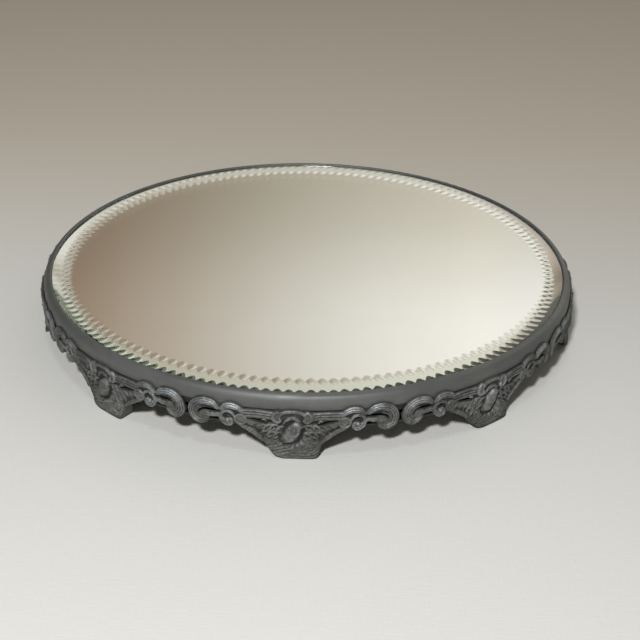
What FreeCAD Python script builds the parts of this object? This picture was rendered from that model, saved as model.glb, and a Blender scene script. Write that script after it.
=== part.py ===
"""Round mirror turntable: a bevelled mirror tray that turns on a ring bearing over an openwork footed gallery.

Lengths are in millimetres. +Z is up, the floor under the feet is z = 0 and the turning axis is the Z axis.
The first foot points along -Y and the others follow every 40 degrees.
"""
import FreeCAD, Part
import math
import os
import Sketcher

# name, value, meaning. Every other size is worked out from these.
SIZES = [
    ("crest_height", 34.6, "highest line of the rim moulding above the floor"),
    ("lip_radius", 145.5, "inner edge of the rim's lip"),
    ("rim_radius", 150.0, "outside of the rim moulding"),
    ("rim_wall", 1.2, "sheet of the rim moulding"),
    ("crest_setback", 0.7, "crest outwards from the lip's edge"),
    ("lip_roll", 1.0, "radius of the rim between the lip's edge and the crest"),
    ("lip_drop", 1.1, "lip's edge below the crest"),
    ("lip_thickness", 2.6, "depth of the rim's lip, down to the mirror's foot"),
    ("crest_roll", 3.1, "radius of the rim between the crest and the shoulder"),
    ("shoulder_radius", 148.36, "where the rim's shoulder slopes at 45 degrees"),
    ("shoulder_drop", 1.0, "that place below the crest"),
    ("shoulder_roll", 6.3, "radius of the rim between the shoulder and the upright side"),
    ("side_drop", 5.5, "top of the rim's upright side below the crest"),
    ("fillet_width", 0.9, "slope inside the rim, between the lip and the side"),
    ("fillet_height", 1.9, "the same slope, up"),
    ("hem_radius", 147.6, "inner edge of the hem along the rim's bottom"),
    ("hem_thickness", 1.0, "hem along the rim's bottom"),
    ("glass_radius", 147.3, "edge of the mirror plate's foot, held under the lip"),
    ("glass_foot", 1.5, "height of that foot"),
    ("glass_play", 0.1, "mirror plate to the lip, above the foot"),
    ("glass_thickness", 6.0, "mirror plate"),
    ("glass_rise", 0.7, "mirror face above the rim's crest"),
    ("bevel_width", 8.4, "ground bevel round the mirror"),
    ("bevel_depth", 1.5, "fall of the bevel to the plate's edge"),
    ("silver_thickness", 0.2, "silvering and its backing paint"),
    ("felt_thickness", 0.8, "cushion felt under the mirror"),
    ("board_thickness", 4.7, "board that carries the mirror"),
    ("bearing_height", 7.0, "height of the ring bearing"),
    ("bearing_gap", 0.8, "each race stops this far from the other one's plate"),
    ("ball_circle", 111.0, "radius of the circle of ball centres"),
    ("ball_radius", 2.0, "bearing ball"),
    ("ball_play", 0.3, "groove radius over the ball's"),
    ("ball_count", 30, "balls in the cage"),
    ("race_gap", 1.6, "radial gap between the races"),
    ("inner_race_bore", 98.0, "inside of the inner race"),
    ("outer_race_edge", 124.0, "outside of the outer race"),
    ("cage_wall", 0.6, "strip of the ball cage"),
    ("cage_height", 5.2, "height of the ball cage"),
    ("cage_play", 0.05, "radius of the cage's holes over the ball's"),
    ("ball_drop", 0.4, "balls sit this far below the bearing's middle"),
    ("inner_screw_circle", 103.0, "radius of the inner race's screw circle"),
    ("outer_screw_circle", 118.0, "radius of the outer race's screw circle"),
    ("race_screw_count", 6, "screws in each race"),
    ("access_bore", 9.0, "hole in the base plate for reaching the outer race's screws"),
    ("plate_thickness", 1.5, "base plate"),
    ("plate_radius", 148.5, "edge of the base plate"),
    ("plate_bore", 88.0, "radius of the base plate's middle opening"),
    ("clip_count", 6, "turn clips that hold the board in the rim"),
    ("clip_width", 14.0, "turn clip"),
    ("clip_thickness", 1.0, "turn clip"),
    ("clip_corner", 3.0, "rounded corners of a turn clip"),
    ("clip_start", 134.0, "inner end of a turn clip"),
    ("clip_end", 149.3, "outer end of a turn clip, under the rim's hem"),
    ("clip_screw_circle", 139.5, "radius of the clip screws' circle"),
    ("screw_radius", 1.5, "shank of every screw"),
    ("head_radius", 2.8, "head of every screw"),
    ("head_height", 1.4, "head of every screw"),
    ("head_chamfer", 0.4, "head of every screw"),
    ("head_play", 0.3, "counterbore radius over the head's"),
    ("slot_width", 0.7, "driver slot of every screw"),
    ("slot_depth", 0.6, "driver slot of every screw"),
    ("hole_play", 0.05, "hole radius over the shank's"),
    ("tip_gap", 0.2, "blind holes are this much deeper than their screws"),
    ("backing_play", 0.1, "felt and board stop short of the mirror's edge"),
    ("casting_count", 9, "gallery castings, one foot each"),
    ("seam_gap", 0.4, "angle left open between castings, in degrees"),
    ("gallery_outside", 152.5, "outside of the gallery castings"),
    ("outline_depth", 1.0, "the outlines are measured along a circle this far inside that"),
    ("gallery_inside", 149.0, "inside of the castings, below the rim"),
    ("rim_clearance", 0.45, "castings to the turning rim"),
    ("step_height", 21.9, "castings are thinner above this height, to clear the rim and clips"),
    ("sole_setback", 0.4, "front of the sole behind the gallery's outside"),
    ("waist_setback", 0.7, "front of the foot behind the gallery's outside"),
    ("waist_height", 8.0, "height at which the foot is set back that far"),
    ("full_height_low", 15.0, "the gallery has its full radius from this height"),
    ("full_height_high", 25.0, "to this height"),
    ("top_setback", 0.9, "front of the gallery's top behind its outside"),
    ("blank_height", 30.5, "height that the castings' outline is cut from"),
    ("foot_depth", 8.0, "depth of a foot's sole, front to back"),
    ("sole_block_height", 5.0, "the foot has that depth up to this height"),
    ("web_height", 13.2, "and tapers to the gallery's thickness at this height"),
    ("sole_right_end", 9.8, "right-hand end of a foot's sole, from the foot's middle"),
    ("heel_radius", 5.0, "rounding of the foot above that end"),
    ("sole_left_end", 6.2, "its left-hand end"),
    ("pad_thickness", 0.4, "pad under each foot"),
    ("pad_width", 13.0, "pad, along the rim"),
    ("pad_depth", 5.6, "pad, front to back"),
    ("pad_corner", 2.0, "rounded corners of a pad"),
    ("lug_angle", 12.0, "screw lugs each side of a foot's middle, in degrees"),
    ("lug_span", 5.0, "angle that a lug takes up, in degrees"),
    ("lug_height", 3.0, "screw lug"),
    ("lug_overlap", 0.8, "lug reaches this far into its casting"),
    ("lug_radius", 139.5, "inner end of a screw lug"),
    ("lug_screw_circle", 143.5, "radius of the lug screws' circle"),
    ("lug_screw_bite", 2.5, "how far the lug screws reach into the lugs"),
    ("board_screw_bite", 1.9, "how far screws reach into the board"),
    ("race_screw_bite", 4.5, "how far screws reach into the inner race"),
    ("head_recess", 2.2, "counterbores in the outer race"),
]

doc = FreeCAD.newDocument("mirror_turntable")
sheet = doc.addObject("Spreadsheet::Sheet", "Sizes")
for row, (alias, number, meaning) in enumerate(SIZES, 1):
    sheet.set(f"A{row}", alias)
    sheet.set(f"B{row}", str(number))
    sheet.set(f"C{row}", meaning)
    sheet.setAlias(f"B{row}", alias)
doc.recompute()

# Heights of the stack, as spreadsheet formulas, from the mirror down to the base plate.
GLASS_TOP = "(Sizes.crest_height + Sizes.glass_rise)"
GLASS_BOTTOM = f"({GLASS_TOP} - Sizes.glass_thickness)"
SILVER_BOTTOM = f"({GLASS_BOTTOM} - Sizes.silver_thickness)"
FELT_BOTTOM = f"({SILVER_BOTTOM} - Sizes.felt_thickness)"
BOARD_BOTTOM = f"({FELT_BOTTOM} - Sizes.board_thickness)"
PLATE_TOP = f"({BOARD_BOTTOM} - Sizes.bearing_height)"
PLATE_BOTTOM = f"({PLATE_TOP} - Sizes.plate_thickness)"
BALL_HEIGHT = f"({PLATE_TOP} + Sizes.bearing_height / 2 - Sizes.ball_drop)"
GROOVE_RADIUS = "(Sizes.ball_radius + Sizes.ball_play)"
INNER_FACE = "(Sizes.ball_circle - Sizes.race_gap / 2)"
OUTER_FACE = "(Sizes.ball_circle + Sizes.race_gap / 2)"
GROOVE_REACH = f"sqrt({GROOVE_RADIUS} ^ 2 - (Sizes.race_gap / 2) ^ 2)"
HOLE_RADIUS = "(Sizes.screw_radius + Sizes.hole_play)"
SOLE_FRONT = "(Sizes.gallery_outside - Sizes.sole_setback)"

# One casting's outline, in millimetres along the gallery from the foot's middle and up from the floor.
# Each corner is (along, up) or (along, up, radius), where the radius rounds the side that leaves the corner:
# positive bulges out of the metal, negative into it. The scrolls are the same on both sides of the foot; the
# foot itself runs out further on its right-hand side.
FOOT_RIGHT = [(13.4, 5.2), (15.4, 9.8)]
FOOT_LEFT = [(10.2, 2.2), (12.9, 5.8), (15.2, 9.4)]
SCROLLS = [
    (19.5, 13.2), (24.0, 15.6), (28.2, 16.6, 3.3), (34.6, 18.0), (37.0, 19.4), (39.4, 18.0, 6.6), (51.0, 16.0),
    (51.6, 24.8, 7.5), (43.0, 29.4), (37.0, 28.0), (33.5, 29.2, 5.0), (25.5, 27.9), (21.5, 26.8), (9.0, 27.0),
]
# Through slots of one side: corners in the same measure.
SLOTS = [
    [(12.4, 19.2), (14.6, 18.8), (21.0, 20.0), (20.4, 21.0), (15.0, 20.8)],
    [(28.8, 20.3), (33.4, 20.9), (33.8, 22.0), (29.8, 21.7)],
    [(36.0, 22.1), (40.0, 22.9), (45.4, 22.4), (45.2, 23.8), (39.5, 24.2), (36.4, 23.3)],
]


def value(expression):
    """Number that a spreadsheet formula comes to."""
    return float(sheet.evalExpression(str(expression)))


def origin_feature(body, role):
    return next(feature for feature in body.Origin.OriginFeatures if feature.Role == role)


def new_body(label):
    body = doc.addObject("PartDesign::Body", label)
    body.Label = label
    return body


def new_sketch(body, name, role, turn=0.0):
    """Sketch on one of the body's own origin planes; turn swings an upright plane about the Z axis."""
    sketch = body.newObject("Sketcher::SketchObject", name)
    sketch.AttachmentSupport = [(origin_feature(body, role), "")]
    sketch.MapMode = "FlatFace"
    sketch.AttachmentOffset = FreeCAD.Placement(FreeCAD.Vector(), FreeCAD.Rotation(FreeCAD.Vector(0, 1, 0), turn))
    return sketch


def pin_coordinate(sketch, kind, geometry, end, expression):
    """Hold one coordinate of a point at a formula's value, measured from the sketch's origin."""
    number = value(expression)
    if abs(number) < 1e-9:
        axis = -2 if kind == "DistanceX" else -1
        sketch.addConstraint(Sketcher.Constraint("PointOnObject", geometry, end, axis))
        return
    index = sketch.addConstraint(Sketcher.Constraint(kind, -1, 1, geometry, end, number))
    sketch.setExpression(f"Constraints[{index}]", str(expression))


def arc_between(start, end, radius):
    """Arc from start to end; a positive radius keeps its centre on the left of the way from start to end."""
    chord = end - start
    middle = (start + end) * 0.5
    half = chord.Length / 2
    rise = math.sqrt(max(radius * radius - half * half, 0.0))
    left = FreeCAD.Vector(-chord.y, chord.x, 0) * (1 / chord.Length)
    centre = middle + left * math.copysign(rise, radius)
    first, last = (start, end) if radius > 0 else (end, start)
    angles = [math.atan2(point.y - centre.y, point.x - centre.x) for point in (first, last)]
    return Part.ArcOfCircle(Part.Circle(centre, FreeCAD.Vector(0, 0, 1), abs(radius)), *angles)


def add_outline(sketch, corners):
    """Closed outline through corners given as formulas (x, y) or (x, y, radius of the side that leaves)."""
    points = [FreeCAD.Vector(value(corner[0]), value(corner[1]), 0) for corner in corners]
    sides = []
    for index, corner in enumerate(corners):
        start, end = points[index], points[(index + 1) % len(points)]
        if len(corner) == 2:
            geometry = sketch.addGeometry(Part.LineSegment(start, end), False)
            sides.append((geometry, 1, 2))
            continue
        radius = value(corner[2])
        geometry = sketch.addGeometry(arc_between(start, end, radius), False)
        sides.append((geometry, 1, 2) if radius > 0 else (geometry, 2, 1))
        bend = sketch.addConstraint(Sketcher.Constraint("Radius", geometry, abs(radius)))
        sketch.setExpression(f"Constraints[{bend}]", f"abs({corner[2]})")
    for index, (geometry, begin, _) in enumerate(sides):
        before, _, finish = sides[index - 1]
        sketch.addConstraint(Sketcher.Constraint("Coincident", before, finish, geometry, begin))
    for (geometry, begin, _), corner in zip(sides, corners):
        pin_coordinate(sketch, "DistanceX", geometry, begin, corner[0])
        pin_coordinate(sketch, "DistanceY", geometry, begin, corner[1])


def add_circle(sketch, x, y, radius):
    centre = FreeCAD.Vector(value(x), value(y), 0)
    geometry = sketch.addGeometry(Part.Circle(centre, FreeCAD.Vector(0, 0, 1), value(radius)), False)
    size = sketch.addConstraint(Sketcher.Constraint("Radius", geometry, value(radius)))
    sketch.setExpression(f"Constraints[{size}]", str(radius))
    pin_coordinate(sketch, "DistanceX", geometry, 3, x)
    pin_coordinate(sketch, "DistanceY", geometry, 3, y)


def revolve(body, name, corners, span=None, turn=0.0):
    """Turn an outline in (radius, height) about the Z axis: all the way, or over span degrees about +X."""
    sketch = new_sketch(body, f"{name}_outline", "XZ_Plane", turn)
    add_outline(sketch, corners)
    feature = body.newObject("PartDesign::Revolution", name)
    feature.Profile = sketch
    feature.ReferenceAxis = (sketch, ["V_Axis"])
    if span is None:
        feature.Angle = 360
    else:
        feature.Midplane = True
        feature.setExpression("Angle", span)
    body.Tip = feature
    return feature


def pocket(body, sketch, name, length=None, upwards=False):
    """Cut a sketch through everything, or from its plane along +Z by a length."""
    feature = body.newObject("PartDesign::Pocket", name)
    feature.Profile = sketch
    if length is None:
        feature.Type = "ThroughAll"
        feature.Midplane = True
    else:
        feature.setExpression("Length", length)
        feature.Reversed = upwards
    body.Tip = feature
    return feature


def cut_checked(body, sketch, name, length=None, upwards=False):
    """Cut, and make sure that the cut took metal away."""
    doc.recompute()
    before = body.Shape.Volume
    feature = pocket(body, sketch, name, length, upwards)
    doc.recompute()
    if not body.Shape.Volume < before:
        raise RuntimeError(f"{name} cuts nothing from {body.Label}")
    return feature


def repeat_round(body, feature, count):
    """Repeat a feature round the Z axis."""
    pattern = body.newObject("PartDesign::PolarPattern", f"{feature.Name}_round")
    pattern.Originals = [feature]
    pattern.Axis = (origin_feature(body, "Z_Axis"), [""])
    pattern.Angle = 360
    pattern.setExpression("Occurrences", count)
    body.Tip = pattern
    doc.recompute()
    return pattern


def round_holes(body, name, circle, radius, depth_top=None, count="1", angle="0"):
    """Upright holes on a circle: through, or blind from below up to the height depth_top."""
    sketch = new_sketch(body, f"{name}_plan", "XY_Plane")
    add_circle(sketch, f"{circle} * cos({angle} * 1 deg)", f"{circle} * sin({angle} * 1 deg)", radius)
    feature = cut_checked(body, sketch, name, depth_top, upwards=True)
    if value(count) > 1:
        repeat_round(body, feature, count)


def disc(label, radius, bottom, thickness):
    """Plain flat disc about the Z axis."""
    feature = doc.addObject("Part::Cylinder", label)
    feature.Label = label
    feature.setExpression("Radius", radius)
    feature.setExpression("Height", thickness)
    feature.setExpression("Placement.Base.z", bottom)
    return feature


def group_on_circle(label, shape, count, first_angle=0.0, step=None):
    """Equal separate solids round the Z axis in one node; the first one is made about +X."""
    total = round(value(count))
    step = 360.0 / total if step is None else step
    copies = []
    for index in range(total):
        copy = shape.copy()
        copy.rotate(FreeCAD.Vector(), FreeCAD.Vector(0, 0, 1), first_angle + index * step)
        copies.append(copy)
    feature = doc.addObject("Part::Feature", label)
    feature.Label = label
    feature.Shape = Part.makeCompound(copies)
    feature.Placement = FreeCAD.Placement()
    return feature


def pan_screw(circle, head_bottom, tip):
    """Screw standing on its head at a radius on +X: the head below, the shank reaching up to tip."""
    place = FreeCAD.Vector(value(circle), 0, value(head_bottom))
    head_height, head_radius = value("Sizes.head_height"), value("Sizes.head_radius")
    head = Part.makeCylinder(head_radius, head_height, place)
    head = head.makeChamfer(value("Sizes.head_chamfer"), [edge for edge in head.Edges if edge.BoundBox.ZMax < place.z + 0.01
                                  and len(edge.Vertexes) == 1])
    width, depth = value("Sizes.slot_width"), value("Sizes.slot_depth")
    slot = Part.makeBox(2 * head_radius, width, depth, place - FreeCAD.Vector(head_radius, width / 2, 0))
    shank = Part.makeCylinder(value("Sizes.screw_radius"), value(tip) - place.z, place)
    return head.fuse(shank).cut(slot).removeSplitter()


def make_mirror():
    glass = new_body("mirror_glass")
    edge = "(Sizes.lip_radius - Sizes.glass_play)"
    foot_top = f"{GLASS_BOTTOM} + Sizes.glass_foot"
    revolve(glass, "plate", [
        ("0", GLASS_BOTTOM),
        ("Sizes.glass_radius", GLASS_BOTTOM),
        ("Sizes.glass_radius", foot_top),
        (edge, foot_top),
        (edge, f"{GLASS_TOP} - Sizes.bevel_depth"),
        (f"{edge} - Sizes.bevel_width", GLASS_TOP),
        ("0", GLASS_TOP),
    ])
    return [
        glass,
        disc("silver_backing", "Sizes.glass_radius", SILVER_BOTTOM, "Sizes.silver_thickness"),
        disc("cushion_felt", "Sizes.glass_radius - Sizes.backing_play", FELT_BOTTOM, "Sizes.felt_thickness"),
    ]


def make_board():
    board = new_body("backing_board")
    edge = "Sizes.glass_radius - Sizes.backing_play"
    revolve(board, "board", [("0", BOARD_BOTTOM), (edge, BOARD_BOTTOM), (edge, FELT_BOTTOM), ("0", FELT_BOTTOM)])
    blind_top = f"{BOARD_BOTTOM} + Sizes.board_screw_bite + Sizes.tip_gap"
    round_holes(board, "race_pilots", "Sizes.outer_screw_circle", HOLE_RADIUS, blind_top, "Sizes.race_screw_count")
    round_holes(board, "clip_pilots", "Sizes.clip_screw_circle", HOLE_RADIUS, blind_top, "Sizes.clip_count")
    return [board]


def make_rim():
    rim = new_body("rim_moulding")
    inside = "Sizes.rim_radius - Sizes.rim_wall"
    lip_top = "Sizes.crest_height - Sizes.lip_drop"
    lip_bottom = f"({lip_top} - Sizes.lip_thickness)"
    hem_top = f"{BOARD_BOTTOM} + Sizes.hem_thickness"
    revolve(rim, "moulding", [
        ("Sizes.hem_radius", BOARD_BOTTOM),
        ("Sizes.rim_radius", BOARD_BOTTOM),
        ("Sizes.rim_radius", "Sizes.crest_height - Sizes.side_drop", "Sizes.shoulder_roll"),
        ("Sizes.shoulder_radius", "Sizes.crest_height - Sizes.shoulder_drop", "Sizes.crest_roll"),
        ("Sizes.lip_radius + Sizes.crest_setback", "Sizes.crest_height", "Sizes.lip_roll"),
        ("Sizes.lip_radius", lip_top),
        ("Sizes.lip_radius", lip_bottom),
        (f"{inside} - Sizes.fillet_width", lip_bottom),
        (inside, f"{lip_bottom} - Sizes.fillet_height"),
        (inside, hem_top),
        ("Sizes.hem_radius", hem_top),
    ])
    return [rim]


def make_clips():
    start, end, width = (value(f"Sizes.clip_{name}") for name in ("start", "end", "width"))
    thickness, circle = value("Sizes.clip_thickness"), value("Sizes.clip_screw_circle")
    bottom = value(BOARD_BOTTOM) - thickness
    clip = Part.makeBox(end - start, width, thickness, FreeCAD.Vector(start, -width / 2, bottom))
    corners = [edge for edge in clip.Edges if abs(edge.tangentAt(0).z) > 0.9]
    clip = clip.makeFillet(value("Sizes.clip_corner"), corners)
    hole = Part.makeCylinder(value(HOLE_RADIUS), thickness, FreeCAD.Vector(circle, 0, bottom))
    reach = Part.makeCylinder(end, thickness, FreeCAD.Vector(0, 0, bottom))
    head_bottom = f"{BOARD_BOTTOM} - Sizes.clip_thickness - Sizes.head_height"
    screw = pan_screw("Sizes.clip_screw_circle", head_bottom, f"{BOARD_BOTTOM} + Sizes.board_screw_bite")
    return [
        group_on_circle("board_clips", clip.common(reach).cut(hole), "Sizes.clip_count"),
        group_on_circle("clip_screws", screw, "Sizes.clip_count"),
    ]


def make_outer_race():
    race = new_body("outer_race")
    bottom = f"{PLATE_TOP} + Sizes.bearing_gap"
    revolve(race, "ring", [
        (OUTER_FACE, bottom),
        ("Sizes.outer_race_edge", bottom),
        ("Sizes.outer_race_edge", BOARD_BOTTOM),
        (OUTER_FACE, BOARD_BOTTOM),
        (OUTER_FACE, f"{BALL_HEIGHT} + {GROOVE_REACH}", f"-1 * {GROOVE_RADIUS}"),
        (OUTER_FACE, f"{BALL_HEIGHT} - {GROOVE_REACH}"),
    ])
    circle = "Sizes.outer_screw_circle"
    round_holes(race, "screw_holes", circle, HOLE_RADIUS, FELT_BOTTOM, "Sizes.race_screw_count")
    round_holes(race, "counterbores", circle, "Sizes.head_radius + Sizes.head_play", f"{bottom} + Sizes.head_recess",
                "Sizes.race_screw_count")
    head_bottom = f"{bottom} + Sizes.head_recess - Sizes.head_height"
    screw = pan_screw(circle, head_bottom, f"{BOARD_BOTTOM} + Sizes.board_screw_bite")
    return [race, group_on_circle("outer_race_screws", screw, "Sizes.race_screw_count")]


def make_inner_race():
    race = new_body("inner_race")
    top = f"{BOARD_BOTTOM} - Sizes.bearing_gap"
    revolve(race, "ring", [
        ("Sizes.inner_race_bore", PLATE_TOP),
        (INNER_FACE, PLATE_TOP),
        (INNER_FACE, f"{BALL_HEIGHT} - {GROOVE_REACH}", f"-1 * {GROOVE_RADIUS}"),
        (INNER_FACE, f"{BALL_HEIGHT} + {GROOVE_REACH}"),
        (INNER_FACE, top),
        ("Sizes.inner_race_bore", top),
    ])
    round_holes(race, "screw_threads", "Sizes.inner_screw_circle", HOLE_RADIUS,
                f"{PLATE_TOP} + Sizes.race_screw_bite + Sizes.tip_gap", "Sizes.race_screw_count")
    screw = pan_screw("Sizes.inner_screw_circle", f"{PLATE_BOTTOM} - Sizes.head_height",
                      f"{PLATE_TOP} + Sizes.race_screw_bite")
    return [race, group_on_circle("inner_race_screws", screw, "Sizes.race_screw_count")]


def make_balls():
    cage = new_body("ball_cage")
    inside, outside = "Sizes.ball_circle - Sizes.cage_wall / 2", "Sizes.ball_circle + Sizes.cage_wall / 2"
    low, high = f"{BALL_HEIGHT} - Sizes.cage_height / 2", f"{BALL_HEIGHT} + Sizes.cage_height / 2"
    revolve(cage, "strip", [(inside, low), (outside, low), (outside, high), (inside, high)])
    sketch = new_sketch(cage, "ball_holes_side", "YZ_Plane")
    add_circle(sketch, "0", BALL_HEIGHT, "Sizes.ball_radius + Sizes.cage_play")
    holes = cut_checked(cage, sketch, "ball_holes", "Sizes.ball_circle + Sizes.cage_height", upwards=True)
    repeat_round(cage, holes, "Sizes.ball_count")
    centre = FreeCAD.Vector(value("Sizes.ball_circle"), 0, value(BALL_HEIGHT))
    ball = Part.makeSphere(value("Sizes.ball_radius"), centre)
    return [cage, group_on_circle("bearing_balls", ball, "Sizes.ball_count")]


def make_base_plate():
    plate = new_body("base_plate")
    revolve(plate, "ring", [
        ("Sizes.plate_bore", PLATE_BOTTOM),
        ("Sizes.plate_radius", PLATE_BOTTOM),
        ("Sizes.plate_radius", PLATE_TOP),
        ("Sizes.plate_bore", PLATE_TOP),
    ])
    above = BOARD_BOTTOM
    round_holes(plate, "race_holes", "Sizes.inner_screw_circle", HOLE_RADIUS, above, "Sizes.race_screw_count")
    round_holes(plate, "access_hole", "Sizes.outer_screw_circle", "Sizes.access_bore / 2", above, angle="30")
    for side, sign in (("left", -1), ("right", 1)):
        round_holes(plate, f"lug_holes_{side}", "Sizes.lug_screw_circle", HOLE_RADIUS, above,
                    "Sizes.casting_count", f"({sign} * Sizes.lug_angle - 90)")
    return [plate]


def along_gallery(distance):
    """Sideways position, seen from outside, of a point a distance along the gallery from the foot's middle."""
    radius = value("Sizes.gallery_outside - Sizes.outline_depth")
    return radius * math.sin(distance / radius)


def casting_outline():
    """Whole outline of a casting, anticlockwise seen from outside."""
    floor = value("Sizes.pad_thickness")
    right = [(value("Sizes.sole_right_end"), floor, value("Sizes.heel_radius"))] + FOOT_RIGHT + SCROLLS
    # The left side runs the other way round, so each radius belongs to the corner at the other end of its side.
    left = []
    for index in range(len(SCROLLS) - 1, -1, -1):
        bend = SCROLLS[index - 1][2:] if index > 0 else ()
        left.append((-SCROLLS[index][0], SCROLLS[index][1], *bend))
    left += mirrored(FOOT_LEFT) + [(-value("Sizes.sole_left_end"), floor)]
    return [(along_gallery(corner[0]), *corner[1:]) for corner in right + left]


def mirrored(corners):
    return [(-x, y) for x, y in reversed(corners)]


def make_castings():
    """One casting is modelled about +X and copied round the Z axis."""
    model = new_body("casting_model")
    inside, outside = "Sizes.gallery_inside", "Sizes.gallery_outside"
    upper_inside = "Sizes.rim_radius + Sizes.rim_clearance"
    sole_back = f"{SOLE_FRONT} - Sizes.foot_depth"
    revolve(model, "band", [
        (sole_back, "Sizes.pad_thickness"),
        (SOLE_FRONT, "Sizes.pad_thickness"),
        (f"{outside} - Sizes.waist_setback", "Sizes.waist_height"),
        (outside, "Sizes.full_height_low"),
        (outside, "Sizes.full_height_high"),
        (f"{outside} - Sizes.top_setback", "Sizes.blank_height"),
        (upper_inside, "Sizes.blank_height"),
        (upper_inside, "Sizes.step_height"),
        (inside, "Sizes.step_height"),
        (inside, "Sizes.web_height"),
        (sole_back, "Sizes.sole_block_height"),
    ], span="360 / Sizes.casting_count - Sizes.seam_gap")
    sketch = new_sketch(model, "outline_side", "YZ_Plane")
    margin, top = 70, 40  # a frame larger than any casting; what lies between it and the outline is cut off
    add_outline(sketch, [(-margin, -top), (margin, -top), (margin, top), (-margin, top)])
    add_outline(sketch, casting_outline())
    cut_checked(model, sketch, "outline_cut")
    sketch = new_sketch(model, "slots_side", "YZ_Plane")
    for slot in SLOTS:
        corners = [(along_gallery(x), y) for x, y in slot]
        add_outline(sketch, corners)
        add_outline(sketch, mirrored(corners))
    cut_checked(model, sketch, "slots_cut")
    lug_top = f"{PLATE_TOP} + Sizes.lug_height"
    for side, sign in (("left", -1), ("right", 1)):
        revolve(model, f"lug_{side}", [
            ("Sizes.lug_radius", PLATE_TOP),
            (f"{inside} + Sizes.lug_overlap", PLATE_TOP),
            (f"{inside} + Sizes.lug_overlap", lug_top),
            ("Sizes.lug_radius", lug_top),
        ], span="Sizes.lug_span", turn=sign * value("Sizes.lug_angle"))
        round_holes(model, f"lug_hole_{side}", "Sizes.lug_screw_circle", HOLE_RADIUS,
                    f"{PLATE_TOP} + Sizes.lug_screw_bite + Sizes.tip_gap", angle=f"({sign} * Sizes.lug_angle)")
    doc.recompute()
    castings = []
    for index in range(round(value("Sizes.casting_count"))):
        casting = doc.addObject("Part::Compound", f"gallery_casting_{index + 1}")
        casting.Label = casting.Name
        casting.Links = [model]
        casting.Placement.Rotation = FreeCAD.Rotation(FreeCAD.Vector(0, 0, 1), -90)
        casting.setExpression("Placement.Rotation.Angle", f"{index} * 360 / Sizes.casting_count - 90")
        castings.append(casting)
    return castings


def make_casting_fixings():
    count = round(value("Sizes.casting_count"))
    screw = pan_screw("Sizes.lug_screw_circle", f"{PLATE_BOTTOM} - Sizes.head_height",
                      f"{PLATE_TOP} + Sizes.lug_screw_bite")
    pair = []
    for sign in (-1, 1):
        copy = screw.copy()
        copy.rotate(FreeCAD.Vector(), FreeCAD.Vector(0, 0, 1), sign * value("Sizes.lug_angle"))
        pair.append(copy)
    screws = group_on_circle("casting_screws", Part.makeCompound(pair), "Sizes.casting_count", -90, 360 / count)
    width, depth, thickness = (value(f"Sizes.pad_{name}") for name in ("width", "depth", "thickness"))
    middle = value(f"{SOLE_FRONT} - Sizes.foot_depth / 2")
    pad = Part.makeBox(depth, width, thickness, FreeCAD.Vector(middle - depth / 2, -width / 2, 0))
    pad = pad.makeFillet(value("Sizes.pad_corner"), [edge for edge in pad.Edges if abs(edge.tangentAt(0).z) > 0.9])
    return [screws, group_on_circle("foot_pads", pad, "Sizes.casting_count", -90)]


def check_document():
    """Stop if any object of the document failed to build."""
    for item in doc.Objects:
        if any(state in ("Invalid", "Error") for state in item.State):
            raise RuntimeError(f"{item.Label} failed: {item.State}")


def write_steps(parts):
    os.makedirs("parts", exist_ok=True)
    for part in parts:
        if part.Shape.isNull() or not part.Shape.isValid():
            raise RuntimeError(f"{part.Label} has no valid shape")
        part.Shape.exportStep(os.path.join("parts", f"{part.Label}.step"))
        print(f"{part.Label:22s} {len(part.Shape.Solids):3d} solids {part.Shape.Volume / 1000:9.3f} cm3")


MAKERS = [make_mirror, make_board, make_rim, make_clips, make_outer_race, make_inner_race, make_balls,
          make_base_plate, make_castings, make_casting_fixings]
all_parts = [part for maker in MAKERS for part in maker()]
doc.recompute()
check_document()
write_steps(all_parts)
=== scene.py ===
"""Looks of the mirror cake turntable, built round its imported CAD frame. Metres, unless a name ends in _mm."""

import math

import bpy
import numpy as np
from mathutils import Matrix, Vector


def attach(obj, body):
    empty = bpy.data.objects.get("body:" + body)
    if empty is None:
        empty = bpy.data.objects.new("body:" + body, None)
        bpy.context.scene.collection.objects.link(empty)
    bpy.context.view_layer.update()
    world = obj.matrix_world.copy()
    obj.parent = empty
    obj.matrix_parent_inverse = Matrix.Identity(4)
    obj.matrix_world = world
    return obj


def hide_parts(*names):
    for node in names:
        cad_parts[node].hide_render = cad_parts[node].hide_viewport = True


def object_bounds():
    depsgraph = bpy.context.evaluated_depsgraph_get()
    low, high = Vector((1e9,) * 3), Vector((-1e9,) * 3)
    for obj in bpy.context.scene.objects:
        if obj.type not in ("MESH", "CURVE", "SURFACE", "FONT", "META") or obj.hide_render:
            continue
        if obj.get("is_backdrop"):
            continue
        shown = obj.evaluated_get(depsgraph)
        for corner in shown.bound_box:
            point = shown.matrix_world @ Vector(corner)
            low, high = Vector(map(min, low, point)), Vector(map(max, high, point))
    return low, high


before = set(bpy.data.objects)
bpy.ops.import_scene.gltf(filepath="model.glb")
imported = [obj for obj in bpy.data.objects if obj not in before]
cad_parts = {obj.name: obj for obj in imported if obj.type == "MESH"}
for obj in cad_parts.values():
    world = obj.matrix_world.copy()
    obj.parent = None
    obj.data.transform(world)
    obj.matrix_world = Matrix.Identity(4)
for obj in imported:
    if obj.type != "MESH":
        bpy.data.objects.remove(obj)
cad_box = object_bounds()
MM = 0.001

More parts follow.
